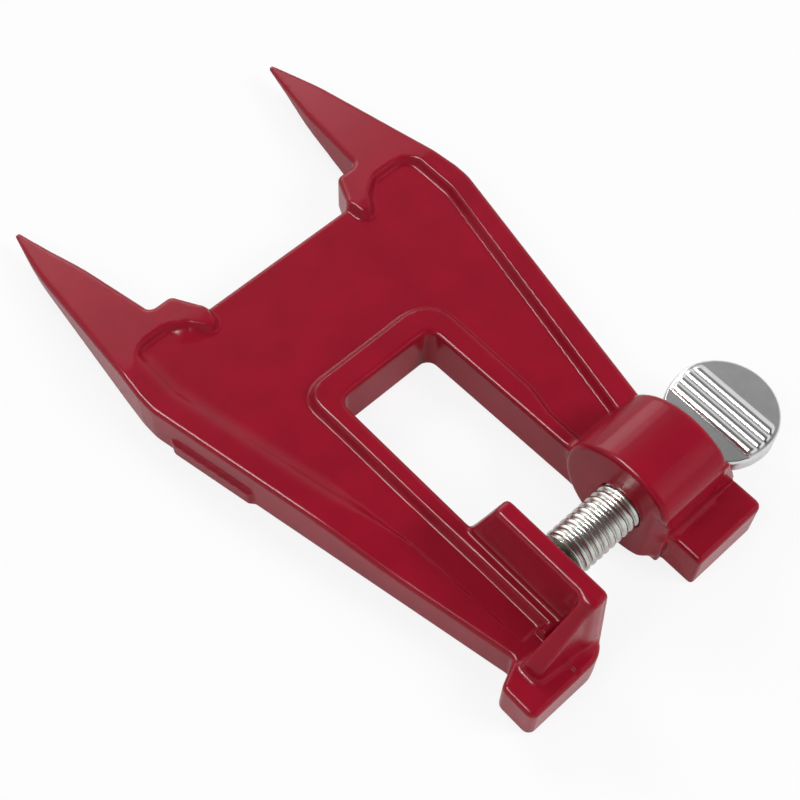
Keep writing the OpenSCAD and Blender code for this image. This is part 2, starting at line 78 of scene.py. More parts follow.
# The arms' outer edges run straight from the lugs to the shoulders. Distances from the centre line
# are given for the fixed jaw's side, -1, and for the screw's side, 1
ARM_FOOT = 13.0
ARM_TOP = 117.0
ARM = {-1: 32.0, 1: BOSS_FAR}
SHOULDER = {-1: 53.4, 1: 54.4}
SHOULDER_TOP = 122.0
SHOULDER_RADIUS = 16

# The hammer lugs
LUG_SIDE = 39.0
LUG_LENGTH = 10.0
LUG_CORNER = 2
LUG_INNER = 16.3
LUG_TOP = 13.7

# The spikes: their tips, the bow of their outer edges, and their faces, which close in to the tips
TIP_INNER = 43.6
TIP_OUTER = 44.8
BOW = 1.7
BOW_SHARE = 0.21
BOW_RUN = 67.9
SPIKE_FOOT = 129.4
SPIKE_LENGTH = 58.0
TIP_TOP = 6.9
TIP_BOTTOM = 5.7

# The fixed jaw plate. Its back and its ends lean out by a share of the distance from its top
JAW_FACE = -13.6
JAW_TOP = 35.0
JAW_BACK = -18.1
JAW_NEAR = 5.5
JAW_FAR = 35.8
BACK_LEAN = 0.031
NEAR_LEAN = 0.0845
FAR_LEAN = 0.309

# The window between the arms, and the rims round the web
WINDOW_END = 88.2
WINDOW_CORNER = 3
WINDOW_RIM_END = 95.3
WEB_CORNER_Y = 134.6
RIM_WIDTH = 7.2

# Distances along the screw, with the vise closed
PAD_FACE = -13.3
PAD_BACK = -9.7
HUB_FACE = 33.0
PADDLE_RADIUS = 14.2
PADDLE_CENTRE = HUB_FACE + PADDLE_RADIUS


# Shapes in the plane


def rounded(corners, chords=8):
    """The closed outline through corners of x, y and radius."""
    points = []
    count = len(corners)
    for i, (x, y, radius) in enumerate(corners):
        at = np.array([x, y], float)
        before = np.array(corners[i - 1][:2], float)
        after = np.array(corners[(i + 1) % count][:2], float)
        u = (before - at) / np.linalg.norm(before - at)
        w = (after - at) / np.linalg.norm(after - at)
        half = math.acos(max(-1.0, min(1.0, float(u @ w)))) / 2

        # An arc takes just under half of each side that it lies on
        room = 0.49 * min(np.linalg.norm(before - at), np.linalg.norm(after - at))
        r = min(radius, room * math.tan(half))
        if r <= 0:
            points.append(at)
            continue
        centre = at + (u + w) / np.linalg.norm(u + w) * r / math.sin(half)
        start = at + u * r / math.tan(half) - centre
        end = at + w * r / math.tan(half) - centre
        first = math.atan2(start[1], start[0])
        turn = (math.atan2(end[1], end[0]) - first + math.pi) % (2 * math.pi) - math.pi
        for k in range(chords + 1):
            a = first + turn * k / chords
            points.append(centre + r * np.array([math.cos(a), math.sin(a)]))
    return np.array(points)


def mirrored(corners):
    """The same corners on the other side of the centre line, in turning order."""
    return [(-x, y, r) for x, y, r in reversed(corners)]


def outline_distance(x, y, outline):
    """Distance to a closed outline, negative inside it."""
    best = np.full(x.shape, 1e12)
    inside = np.zeros(x.shape, bool)
    for a, b in zip(outline, np.roll(outline, -1, axis=0)):
        d = b - a
        length = float(d @ d)
        if length < 1e-12:
            continue
        t = np.clip(((x - a[0]) * d[0] + (y - a[1]) * d[1]) / length, 0.0, 1.0)
        best = np.minimum(best, (x - a[0] - t * d[0]) ** 2 + (y - a[1] - t * d[1]) ** 2)
        if a[1] != b[1]:
            crosses = (a[1] > y) != (b[1] > y)
            inside ^= crosses & (x < a[0] + (y - a[1]) * d[0] / d[1])
    distance = np.sqrt(best)
    return np.where(inside, -distance, distance)


# Blends between solids


def smooth_min(a, b, k):
    """Union of two distances with a fillet of about k."""
    h = np.maximum(k - np.abs(a - b), 0.0) / np.maximum(k, 1e-6)
    return np.minimum(a, b) - h * h * k / 4


def smooth_max(a, b, k):
    """Intersection of two distances with a rounded edge of about k."""
    return -smooth_min(-a, -b, k)


def round_edge(a, b, r):
    """Intersection of two distances with a true radius r between them."""
    corner = np.hypot(np.maximum(a + r, 0.0), np.maximum(b + r, 0.0))
    return np.minimum(np.maximum(a + r, b + r), 0.0) + corner - r


def smooth_step(low, high, v):
    """A soft step from 0 at low to 1 at high."""
    t = np.clip((v - low) / (high - low), 0.0, 1.0)
    return t * t * (3 - 2 * t)


def plane(x, z, at, normal):
    """Distance to a line in a plane, positive on the side that the normal points to."""
    n = math.hypot(*normal)
    return ((x - at[0]) * normal[0] + (z - at[1]) * normal[1]) / n


# The casting's outlines


def arm_edge(side, y):
    """Distance of an arm's outer edge from the centre line."""
    return ARM[side] + (SHOULDER[side] - ARM[side]) * (y - ARM_FOOT) / (ARM_TOP - ARM_FOOT)


def side_edge(side, foot):
    """The casting's edge from a depth stop round its spike and its arm to its lug."""
    shoulder = SHOULDER[side]
    bow = (TIP_OUTER + BOW_SHARE * (shoulder - TIP_OUTER) + BOW, LENGTH - BOW_SHARE * BOW_RUN, 80)
    return [
        # The depth stop
        (24.2, 132.0, 2.5),
        (28.4, 140.8, 2.2),
        (35.0, 140.8, 2.0),
        # The spike, with its slightly hollow inner edge
        (38.57, 165.5, 100),
        (TIP_INNER, LENGTH, 0),
        (TIP_OUTER, LENGTH, 0),
        bow,
        # The shoulder, the arm's foot and the lug
        (shoulder, SHOULDER_TOP, SHOULDER_RADIUS),
        (shoulder, ARM_TOP, SHOULDER_RADIUS),
        *foot,
        (LUG_SIDE, LUG_LENGTH, LUG_CORNER),
        (LUG_SIDE, 0.0, LUG_CORNER),
    ]


# The gap's edge, from the screw side's lug round the window's end to the fixed jaw's foot
GAP_EDGE = [
    (LUG_INNER, 0, 1),
    (LUG_INNER, 9.7, 0),
    (14.4, 9.7, 0),
    (14.4, 39.6, 0),
    (13.0, WINDOW_END, WINDOW_CORNER),
    (-17.3, WINDOW_END, WINDOW_CORNER),
    (-17.3, 41.8, 0.8),
    (JAW_FACE, 41.8, 0),
    (JAW_FACE, 0, 6.6),
]

# The screw arm's edge steps in behind the boss, and the fixed jaw arm's runs straight to its lug
RIGHT_FOOT = [(arm_edge(1, 39.1), 39.1, 1.5), (BOSS_FAR, 36.1, 2), (BOSS_FAR, ARM_FOOT, 1)]
LEFT_FOOT = [(ARM[-1], ARM_FOOT, 1.5)]

# The rims' upper edges, where the sloping walls of the web begin
STOP_SIDE = [(35.0, WEB_CORNER_Y, 4), (30.2, 130.8, 3), (25.6, 123.4, 1.5), (24.6, 134.0, 0)]
WEB_EDGE = [
    (17.8, SCREW_Y, 0),
    (arm_edge(1, SCREW_Y) - RIM_WIDTH, SCREW_Y, 0),
    (48.4, ARM_TOP, 8),
    (48.4, WEB_CORNER_Y, 6),
    *STOP_SIDE,
    *mirrored(STOP_SIDE),
    (-47.4, WEB_CORNER_Y, 6),
    (-47.4, ARM_TOP, 8),
    (-arm_edge(-1, 47.0) + RIM_WIDTH, 47.0, 0),
    (-arm_edge(-1, ARM_FOOT) + 3, ARM_FOOT, 0),
    (-20.9, ARM_FOOT, 0),
    (-22.1, WINDOW_RIM_END, 5),
    (19.5, WINDOW_RIM_END, 8),
    (19.5, 59.6, 6),
    (17.8, 51.6, 6),
]

BODY_OUTLINE = rounded(side_edge(1, RIGHT_FOOT) + GAP_EDGE + mirrored(side_edge(-1, LEFT_FOOT)))
WEB_OUTLINE = rounded(WEB_EDGE)


def boss_outline():
    """The boss's section across the screw."""
    y, z, r, corner = SCREW_Y, SCREW_Z, BOSS_RADIUS, BOSS_CORNER
    side = y + corner - BOSS_FLAT
    rise = math.sqrt((r - corner) ** 2 - (BOSS_FLAT - corner) ** 2)
    meet = math.atan2(rise, corner - BOSS_FLAT)
    foot = math.acos(z / r)

    # Arcs: centre, radius, first and last angle, and chords
    arcs = [
        (y, z, r, foot - math.pi / 2, meet, 60),
        (side, z + rise, corner, meet, math.pi, 10),
        (side, z - rise, corner, math.pi, 2 * math.pi - meet, 10),
        (y, z, r, 2 * math.pi - meet, 1.5 * math.pi - foot, 10),
    ]
    return np.array([
        (cy + cr * math.cos(a), cz + cr * math.sin(a))
        for cy, cz, cr, start, end, chords in arcs
        for a in np.linspace(start, end, chords + 1)
    ])


BOSS_OUTLINE = boss_outline()

# The boss is measured only within these limits, and counts as FAR_OFF beyond them
BOSS_LIMIT_X = (4, 40)
BOSS_LIMIT_Y = 48
FAR_OFF = 30.0


def flat_measures(x, y):
    """Distances to the casting's outline and to the web's edge, which depend on the plan alone."""
    return outline_distance(x, y, BODY_OUTLINE), outline_distance(x, y, WEB_OUTLINE)


def boss_measure(x, y, z):
    """Distance to the boss's section, for the points near the boss."""
    distance = np.full(x.shape, FAR_OFF)
    near = (x > BOSS_LIMIT_X[0]) & (x < BOSS_LIMIT_X[1]) & (y < BOSS_LIMIT_Y)
    distance[near] = outline_distance(y[near], z[near], BOSS_OUTLINE)
    return distance


# The casting's solids

# The run of the web's sloping walls and the rounding of their edges, what both gain along the fixed
# jaw arm's outer rim, and how far past its two edges a wall counts as steep
WALL_RUN = 1.6
WALL_BLEND = 0.8
WIDE_RUN = 2.2
WIDE_BLEND = 0.5
WIDE_X = (-28.0, -34.0)
WIDE_END = (128.0, 133.0)
UNDER_BLEND = 0.9
WALL_START = 0.5
WALL_END = 0.8

# That rim sinks towards the jaw, until this much of it is left over the web
RIM_LEFT = 0.25
RIM_START = 47.0
RIM_RUN = 22.0
RIM_X = (-22.6, -24.4)
RIM_BLEND = 0.6
RIM_MEET = 0.5
OVER_RIM = RIM_TOP + 5

# The step from the lugs up to the arms
STEP_Y = (10.4, 13.0)
STEP_HEIGHT = 4
STEP_BLEND = 0.8

# The plain raised field on the fixed jaw arm's side
FIELD_START = (86.0, 87.8)
FIELD_END = (110.2, 112.0)
FIELD_TOP = (6.0, 7.0)
FIELD_SIDE = -40
FIELD_HEIGHT = 0.9

# The largest share of a thickness that an edge's radius takes, and the least thickness counted
EDGE_SHARE = 0.38
THINNEST = 0.3

# The gusset behind the jaw plate: its ridge's normal, its sides and how they splay, and its low end
RIDGE_NORMAL = (0.8049, -0.5934)
OUTER_SPLAY = 0.1424
INNER_SIDE = 8.5
INNER_SPLAY = 0.154
GUSSET_END = -32.4
GUSSET_FILLET = 1.2
JAW_FOOT = 4.0
FACE_EDGE = 0.6

# The fillet at the jaw's foot is smaller by a share beyond the lug. Fillets end over FADE, so that
# they don't spill past the jaw's face and the boss's far end
FILLET_LOSS = 0.4
FILLET_Y = (9.0, 13.0)
FADE = 3.0

# The scoop that leads the boss's corner to the lug: a point and a normal of each of its two planes
SCOOP_SIDE = ((BOSS_NEAR, 13.1), (4.1, 5.0))
SCOOP_TOP = ((LUG_INNER, 15.5), (10.2, 5.0))
SCOOP_BLEND = 1.0

# The wing that slopes from the boss's far end down to the lug: a point and the normal of its slope,
# and its limits
WING_PLANE = ((LUG_SIDE, 14.6), (14.5, 6.3))
WING_START = 30.5
WING_Y = (9.4, 10.8)
WING_Z = (8.0, 28.4)
WING_INSET = 0.1
WING_ROUND = 0.6
WING_EDGE = 0.5

# The boss's fillet: its share of the fillet radius at the lug, and what it gains along the arm
BOSS_FILLET = 1.2
BOSS_GAIN = 0.6
BOSS_GAIN_Y = (9.0, 16.0)
BORE_EDGE = 0.6


def arms_field(x, y, z, body, web, edge):
    """Distance to the arms with their web, spikes and lugs."""
    # The spikes thin down towards their tips
    run = np.clip((y - SPIKE_FOOT) / SPIKE_LENGTH, 0.0, 1.1)
    upper = RIM_TOP + (TIP_TOP - RIM_TOP) * run
    lower = TIP_BOTTOM * run
    thickness = upper - lower

    # The web's walls slope from the rims down to the web, above and below
    depth = -web
    wide = smooth_step(*WIDE_X, x) * (1 - smooth_step(*WIDE_END, y))
    slope = WALL_RUN + WIDE_RUN * wide
    blend = WALL_BLEND + WIDE_BLEND * wide
    sunk = smooth_max(RIM_TOP - WEB_DEPTH * depth / slope, WEB_TOP, blend)
    upper = smooth_min(upper, sunk, blend)

    # The fixed jaw arm's outer rim sinks, and both lugs are lower than the rims
    low_rim = WEB_TOP + RIM_LEFT
    rim = low_rim + (WEB_DEPTH - RIM_LEFT) * (y - RIM_START) / RIM_RUN
    rim = smooth_max(smooth_min(rim, RIM_TOP, RIM_BLEND), low_rim, RIM_BLEND)
    rim = rim + (OVER_RIM - rim) * (1 - smooth_step(*RIM_X, x))
    upper = smooth_min(upper, rim, RIM_MEET)
    upper = smooth_min(upper, LUG_TOP + STEP_HEIGHT * smooth_step(*STEP_Y, y), STEP_BLEND)
    lower = smooth_max(lower, RIM_TOP - sunk, UNDER_BLEND)

    # The raised field stands out from the side
    field = smooth_step(*FIELD_START, y) * (1 - smooth_step(*FIELD_END, y))
    field = field * (1 - smooth_step(*FIELD_TOP, z)) * (x < FIELD_SIDE)
    side = body - FIELD_HEIGHT * field

    # Heights measure too much across the steep walls, so they count for less there
    r = np.minimum(edge, EDGE_SHARE * np.maximum(thickness, THINNEST))
    steep = smooth_step(0.0, WALL_START, depth) * (1 - smooth_step(slope, slope + WALL_END, depth))
    steep = 1 + steep
    return round_edge(side, np.maximum((z - upper) / steep, (lower - z) / steep), r)


def jaw_field(x, y, z, edge, fillet, keep):
    """Distance to the fixed jaw plate and its gusset, down into the arm."""
    back = -plane(x, z, (JAW_BACK, JAW_TOP), (1.0, -BACK_LEAN))
    near = -plane(y, z, (JAW_NEAR, JAW_TOP), (1.0, -NEAR_LEAN))
    far = plane(y, z, (JAW_FAR, JAW_TOP), (1.0, FAR_LEAN))
    foot = JAW_FOOT - z
    plate = smooth_max(smooth_max(back, foot, edge), smooth_max(near, far, edge), edge)

    ridge = -plane(x, z, (JAW_BACK, JAW_TOP), RIDGE_NORMAL)
    outer = JAW_NEAR - OUTER_SPLAY * np.maximum(-ridge, 0.0) - y
    inner = y - (INNER_SIDE + INNER_SPLAY * np.maximum(JAW_BACK - x, 0.0))
    low_end = smooth_max(outer, GUSSET_END - x, edge)
    gusset = smooth_max(smooth_max(smooth_max(ridge, inner, edge), low_end, edge), foot, edge)

    jaw = smooth_min(plate, gusset, GUSSET_FILLET * fillet * keep)
    jaw = smooth_max(jaw, z - JAW_TOP, edge)
    return round_edge(jaw, x - JAW_FACE, FACE_EDGE * edge)


def boss_field(x, y, z, body, boss, edge):
    """Distance to the boss, with its scooped corner and its wing."""
    drum = round_edge(boss, np.maximum(BOSS_NEAR - x, x - BOSS_FAR), edge)
    scoop = np.minimum(-plane(x, y, *SCOOP_SIDE), -plane(x, z, *SCOOP_TOP))
    drum = smooth_max(drum, scoop, SCOOP_BLEND)

    wing = smooth_max(plane(x, z, *WING_PLANE), WING_START - x, WING_ROUND)
    wing = smooth_max(wing, smooth_max(WING_Y[0] - y, y - WING_Y[1], WING_EDGE), WING_ROUND)
    wing = smooth_max(wing, np.maximum(WING_Z[0] - z, z - WING_Z[1]), WING_EDGE)
    wing = smooth_max(wing, body + WING_INSET, WING_EDGE)
    return smooth_min(drum, wing, WING_ROUND)


def casting_field(x, y, z, body, web, boss, vise):
    """Distance to the casting's surface, negative in the metal."""
    edge = vise.edge_radius / MM
    fillet = vise.fillet_radius / MM

    keep = smooth_step(0.0, FADE, JAW_FACE - x)
    foot_fillet = fillet * (1 - FILLET_LOSS * smooth_step(*FILLET_Y, y)) * keep
    metal = arms_field(x, y, z, body, web, edge)
    metal = smooth_min(metal, jaw_field(x, y, z, edge, fillet, keep), foot_fillet)

    # The boss's fillet would bulge below the floor, where the casting is flat
    keep = smooth_step(0.0, FADE, BOSS_FAR - x)
    boss_fillet = fillet * (BOSS_FILLET + BOSS_GAIN * smooth_step(*BOSS_GAIN_Y, y)) * keep
    metal = smooth_min(metal, boss_field(x, y, z, body, boss, edge), boss_fillet)
    metal = np.maximum(metal, -z)

    bore = np.hypot(y - SCREW_Y, z - SCREW_Z) - BORE_RADIUS
    return smooth_max(metal, -np.maximum(bore, -x), BORE_EDGE)


# Meshes from distances

# Two steps bring a point to the surface, none longer than LONGEST_MOVE. REACH is how far to its
# sides a point looks for the slope
ROUNDS = 2
REACH = 0.02
LONGEST_MOVE = 0.4


def grid_axes(low, high, step):
    """Even stops from the low corner of a box to its high one, for each of its three axes."""
    return [np.arange(a, b + step, step) for a, b in zip(low, high)]


def surface_points(values, inside, axes):
    """A point in each cell that the surface crosses, and the number of that point by cell."""
    shape = np.array(values.shape) - 1
    total = np.zeros((*shape, 3), np.float32)
    count = np.zeros(shape, np.float32)

    def cell_corner(offset):
        return tuple(slice(o, o + n) for o, n in zip(offset, shape))

    for axis in range(3):
        others = [a for a in range(3) if a != axis]
        for p in (0, 1):
            for q in (0, 1):
                offset = [0, 0, 0]
                offset[others[0]], offset[others[1]] = p, q
                a = cell_corner(offset)
                offset[axis] = 1
                b = cell_corner(offset)
                crosses = inside[a] != inside[b]
                va, vb = values[a][crosses], values[b][crosses]
                t = va / (va - vb)
                for c in range(3):
                    total[..., c][crosses] += t if c == axis else offset[c]
                count[crosses] += 1
    used = count > 0
    index = np.full(shape, -1, np.int64)
    index[used] = np.arange(int(used.sum()))
    cells = np.argwhere(used)
    local = total[used] / count[used][:, None]
    points = np.empty(local.shape)
    for c in range(3):
        step = axes[c][1] - axes[c][0]
        points[:, c] = axes[c][0] + (cells[:, c] + local[:, c]) * step
    return points, index


def net_surface(values, axes):
    """Points and quads of the zero surface of a grid of distances."""
    inside = values < 0
    points, index = surface_points(values, inside, axes)
    quads = []
    for axis in range(3):
        u, v = [(1, 2), (2, 0), (0, 1)][axis]
        low = [slice(None)] * 3
        high = [slice(None)] * 3
        low[axis], high[axis] = slice(0, -1), slice(1, None)
        for s in (low, high):
            s[u] = slice(1, -1)
            s[v] = slice(1, -1)
        a, b = inside[tuple(low)], inside[tuple(high)]

        # Each grid edge that the surface crosses gets a quad between the four cells round it
        for entering, found in ((False, a & ~b), (True, ~a & b)):
            edges = np.argwhere(found)
            edges[:, u] += 1
            edges[:, v] += 1
            around = []
            for du, dv in ((-1, -1), (0, -1), (0, 0), (-1, 0)):
                cell = edges.copy()
                cell[:, u] += du
                cell[:, v] += dv
                around.append(index[cell[:, 0], cell[:, 1], cell[:, 2]])
            quad = np.stack(around, axis=1)
            quads.append(quad[:, ::-1] if entering else quad)
    return points, np.concatenate(quads)


def gradient(points, plan, field):
    """The distance at each point and its slope, with the plan's part shared by the steps in z."""
    flat = plan(points)
    slope = np.empty_like(points)
    for c in range(3):
        step = np.zeros(3)
        step[c] = REACH
        after, before = points + step, points - step
        ahead, behind = (flat, flat) if c == 2 else (plan(after), plan(before))
        slope[:, c] = (field(after, ahead) - field(before, behind)) / (2 * REACH)
    return field(points, flat), slope


def settle(points, plan, field):
    """Moves points onto the zero surface and returns them with the surface's normals."""
    for _ in range(ROUNDS):
        here, slope = gradient(points, plan, field)
        size = np.maximum((slope**2).sum(axis=1), 0.05)
        move = slope * (here / size)[:, None]
        length = np.linalg.norm(move, axis=1)
        points = points - move * np.minimum(1.0, LONGEST_MOVE / np.maximum(length, 1e-9))[:, None]
    slope = gradient(points, plan, field)[1]
    return points, slope / np.maximum(np.linalg.norm(slope, axis=1), 1e-9)[:, None]


def mesh_object(name, points, faces, normals=None):
    """A smooth mesh object from points in the drawing's frame."""
    mesh = bpy.data.meshes.new(name)
    mesh.from_pydata(((points - ORIGIN) * MM).tolist(), [], faces.tolist())
    mesh.validate()
    mesh.polygons.foreach_set("use_smooth", np.ones(len(mesh.polygons), bool))
    if normals is not None:
        mesh.normals_split_custom_set_from_vertices(normals.tolist())
    mesh.update()
    obj = bpy.data.objects.new(name, mesh)
    bpy.context.scene.collection.objects.link(obj)
    return obj


# Materials, with noise and bump in metres on the object's own coordinates


def new_material(name):
    """A material with its node tree and its shader."""
    material = bpy.data.materials.new(name)
    material.use_nodes = True
    tree = material.node_tree
    return material, tree, tree.nodes["Principled BSDF"]


def add_noise(tree, scale, detail):
    """Noise in the object's own coordinates."""
    place = tree.nodes.new("ShaderNodeTexCoord")
    noise = tree.nodes.new("ShaderNodeTexNoise")
    noise.inputs["Scale"].default_value = scale
    noise.inputs["Detail"].default_value = detail
    noise.inputs["Roughness"].default_value = 0.5
    tree.links.new(place.outputs["Object"], noise.inputs["Vector"])
    return noise


def add_bump(tree, shader, height, strength, distance):
    """Bump from a height, on the shader's normal."""
    bump = tree.nodes.new("ShaderNodeBump")
    bump.inputs["Strength"].default_value = strength
    bump.inputs["Distance"].default_value = distance
    tree.links.new(height, bump.inputs["Height"])
    tree.links.new(bump.outputs["Normal"], shader.inputs["Normal"])


def add_ramp(tree, value, stops):
    """A colour ramp through stops of a position and a colour."""
    ramp = tree.nodes.new("ShaderNodeValToRGB")
    ramp.color_ramp.elements[0].position = stops[0][0]
    ramp.color_ramp.elements[0].color = (*stops[0][1], 1)
    ramp.color_ramp.elements[1].position = stops[-1][0]
    ramp.color_ramp.elements[1].color = (*stops[-1][1], 1)
    for position, colour in stops[1:-1]:
        ramp.color_ramp.elements.new(position).color = (*colour, 1)
    tree.links.new(value, ramp.inputs["Fac"])
    return ramp


def vary_colour(tree, shader, noise, colour, dark, light):
    """Base colour between a dark and a light share of one colour, each a position and a share."""
    colour = np.array(colour[:3])
    stops = [(position, colour * share) for position, share in (dark, light)]
    ramp = add_ramp(tree, noise.outputs["Fac"], stops)
    tree.links.new(ramp.outputs["Color"], shader.inputs["Base Color"])


def red_enamel(vise):
    """Glossy red paint over a slightly uneven casting."""
    material, tree, shader = new_material("red_enamel")
    vary_colour(tree, shader, add_noise(tree, 90, 3), vise.paint_colour, (0.35, 0.92), (0.65, 1.06))
    shader.inputs["Roughness"].default_value = 0.22
    shader.inputs["Specular IOR Level"].default_value = 0.16
    add_bump(tree, shader, add_noise(tree, 160, 2).outputs["Fac"], 0.25, 0.12 * MM)
    return material


def bright_zinc(vise):
    """Bright plating with a fine uneven grain."""
    material, tree, shader = new_material("bright_zinc")
    noise = add_noise(tree, 700, 4)
    vary_colour(tree, shader, noise, vise.zinc_colour, (0.3, 0.85), (0.7, 1.05))
    shader.inputs["Metallic"].default_value = 1.0
    shader.inputs["Roughness"].default_value = 0.26
    add_bump(tree, shader, noise.outputs["Fac"], 0.15, 0.04 * MM)
    return material


def satin_chrome(vise):
    """Smooth plating with a soft shine."""
    material, tree, shader = new_material("satin_chrome")
    noise = add_noise(tree, 420, 3)
    vary_colour(tree, shader, noise, vise.chrome_colour, (0.3, 0.94), (0.7, 1.03))
    shader.inputs["Metallic"].default_value = 1.0
    shader.inputs["Roughness"].default_value = 0.28
    add_bump(tree, shader, noise.outputs["Fac"], 0.1, 0.05 * MM)
    return material


# Settings and pieces


class ViseSettings(bpy.types.PropertyGroup):
    """Sizes and colours of the vise that a user would change."""

    edge_radius: FloatProperty(
        name="Edge Radius",
        description="Radius of the casting's outer edges",
        default=1.5 * MM,
        unit="LENGTH",
        subtype="DISTANCE",
    )
    fillet_radius: FloatProperty(
        name="Fillet Radius",
        description="Radius where the jaw and the boss meet the arms",
        default=2.0 * MM,
        unit="LENGTH",
        subtype="DISTANCE",
    )
    casting_cell: FloatProperty(
        name="Casting Cell",
        description="Size of the casting's faces",
        default=0.72 * MM,
        unit="LENGTH",
        subtype="DISTANCE",
    )
    thread_pitch: FloatProperty(
        name="Thread Pitch",
        description="Travel of the screw in one turn",
        default=2.117 * MM,
        unit="LENGTH",
        subtype="DISTANCE",
    )
    thread_diameter: FloatProperty(
        name="Thread Diameter",
        description="Diameter over the thread's crests",
        default=12.5 * MM,
        unit="LENGTH",
        subtype="DISTANCE",
    )
    rib_count: IntProperty(
        name="Paddle Ribs",
        description="Grip ribs on each face of the paddle",
        default=4,
        min=1,
        max=6,
    )
    paint_colour: FloatVectorProperty(
        name="Paint",
        description="Colour of the casting's enamel",
        default=(0.31, 0.006, 0.021, 1),
        size=4,
        subtype="COLOR",
    )
    zinc_colour: FloatVectorProperty(
        name="Zinc",
        description="Colour of the screw's plating",
        default=(0.62, 0.63, 0.59, 1),
        size=4,
        subtype="COLOR",
    )
    chrome_colour: FloatVectorProperty(
        name="Chrome",
        description="Colour of the paddle's plating",
        default=(0.72, 0.72, 0.72, 1),
        size=4,
        subtype="COLOR",
    )
    floor_colour: FloatVectorProperty(
        name="Floor",
        description="Colour of the floor and the backdrop",
        default=(0.95, 0.95, 0.95, 1),
        size=4,
        subtype="COLOR",
    )


# The corners of the grid round the casting
CASTING_LOW = (-56, -2, -1.5)
CASTING_HIGH = (57, 190, 37)


class VISE_OT_casting(bpy.types.Operator):
    """Add the red casting with its rounded edges, sunken web, jaw and boss"""

    bl_idname = "vise.casting"
    bl_label = "Add Casting"

    def execute(self, context):
        vise = context.scene.stump_vise
        axes = grid_axes(CASTING_LOW, CASTING_HIGH, vise.casting_cell / MM)
        xs, ys, zs = axes
        body, web = flat_measures(*np.meshgrid(xs, ys, indexing="ij"))
        boss = outline_distance(*np.meshgrid(ys, zs, indexing="ij"), BOSS_OUTLINE)
        x, y, z = xs[:, None, None], ys[None, :, None], zs[None, None, :]
        flat = body[:, :, None], web[:, :, None]
        values = casting_field(x, y, z, *flat, boss[None, :, :], vise)
        points, quads = net_surface(values.astype(np.float32), axes)

        def field(p, flat):
            x, y, z = p.T
            return casting_field(x, y, z, *flat, boss_measure(x, y, z), vise)

        points, normals = settle(points, lambda p: flat_measures(p[:, 0], p[:, 1]), field)
        obj = mesh_object("cast_frame", points, quads, normals)
        obj.data.materials.append(red_enamel(vise))
        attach(obj, "frame_body")
        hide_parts("vise_frame")
        return {"FINISHED"}


# The stud's plain parts: distances along the screw, and radii
NECK = 2.5
SWIVEL_HEAD = [
    (-12.35, 0.0),
    (-12.35, 3.2),
    (-12.1, 3.5),
    (-11.1, 3.5),
    (-10.85, 3.3),
    (-10.85, NECK),
]
SHANK = [(HUB_FACE, 4.0), (35.6, 4.0), (35.6, 1.8), (43.6, 1.8), (43.6, 0.0)]

# The thread. Its flanks and its lead-in are shares of the pitch
THREAD_START = PAD_BACK + 0.3
THREAD_DEPTH = 0.8
ROOT_SHARE = 0.06
FLANK_SHARE = 0.8
LEAD_IN = 0.8
LEAD_START = 0.05
ROWS_A_TURN = 20
SPOKES = 96


def screw_mesh(vise):
    """Points and quads of the stud: a true thread between its swivel head and its plain end."""
    pitch = vise.thread_pitch / MM
    crest = vise.thread_diameter / 2 / MM
    root = crest - THREAD_DEPTH
    angles = np.linspace(0, 2 * math.pi, SPOKES, endpoint=False)
    rows = [(x, np.full(SPOKES, r)) for x, r in [*SWIVEL_HEAD, (THREAD_START, NECK)]]
    steps = int((HUB_FACE - THREAD_START) / pitch * ROWS_A_TURN)
    for x in np.linspace(THREAD_START, HUB_FACE, steps + 1):
        phase = (x / pitch - angles / (2 * math.pi)) % 1.0
        rise = np.clip((np.abs(phase - 0.5) * 2 - ROOT_SHARE) / FLANK_SHARE, 0, 1)
        shape = 1 - (1 - rise) ** 2
        lead_in = min(1.0, (x - THREAD_START) / (LEAD_IN * pitch) + LEAD_START)
        rows.append((x, NECK + (root + shape * (crest - root) - NECK) * lead_in))
    rows += [(x, np.full(SPOKES, r)) for x, r in SHANK]
    points = []
    for x, radius in rows:
        y = SCREW_Y + radius * np.cos(angles)
        z = SCREW_Z + radius * np.sin(angles)
        points.append(np.stack([np.full(SPOKES, x), y, z], axis=1))
    grid = np.arange(len(rows) * SPOKES).reshape(len(rows), SPOKES)
    beside = np.roll(grid, -1, axis=1)
    quads = np.stack([grid[:-1], beside[:-1], beside[1:], grid[1:]], axis=-1)
    return np.concatenate(points), quads.reshape(-1, 4)


class VISE_OT_screw(bpy.types.Operator):
    """Add the threaded stud"""

    bl_idname = "vise.screw"
    bl_label = "Add Clamp Screw"

    def execute(self, context):
        vise = context.scene.stump_vise
        obj = mesh_object("threaded_stud", *screw_mesh(vise))
        closed = bmesh.new()
        closed.from_mesh(obj.data)
        bmesh.ops.remove_doubles(closed, verts=closed.verts, dist=1e-6)
        bmesh.ops.dissolve_degenerate(closed, dist=1e-7, edges=closed.edges)
        bmesh.ops.recalc_face_normals(closed, faces=closed.faces)
        closed.to_mesh(obj.data)
        closed.free()
        obj.data.materials.append(bright_zinc(vise))
        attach(obj, "screw_body")
        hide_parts("clamp_screw")
        return {"FINISHED"}


# The pad: its radius, and the radii and depths of its lip and of its seat round the screw's head
PAD_RADIUS = 7.5
LIP_RADIUS = 2.75
LIP_DEPTH = 0.9
SEAT_RADIUS = 3.75
SEAT_DEPTH = 2.9
PAD_SECTION = [
    (PAD_FACE, 0.0, 0),
    (PAD_FACE, PAD_RADIUS, 0.8),
    (PAD_BACK, PAD_RADIUS, 1.0),
    (PAD_BACK, LIP_RADIUS, 0.25),
    (PAD_BACK - LIP_DEPTH, LIP_RADIUS, 0.25),
    (PAD_BACK - LIP_DEPTH, SEAT_RADIUS, 0),
    (PAD_BACK - SEAT_DEPTH, SEAT_RADIUS, 0),
    (PAD_BACK - SEAT_DEPTH, 0.0, 0),
]


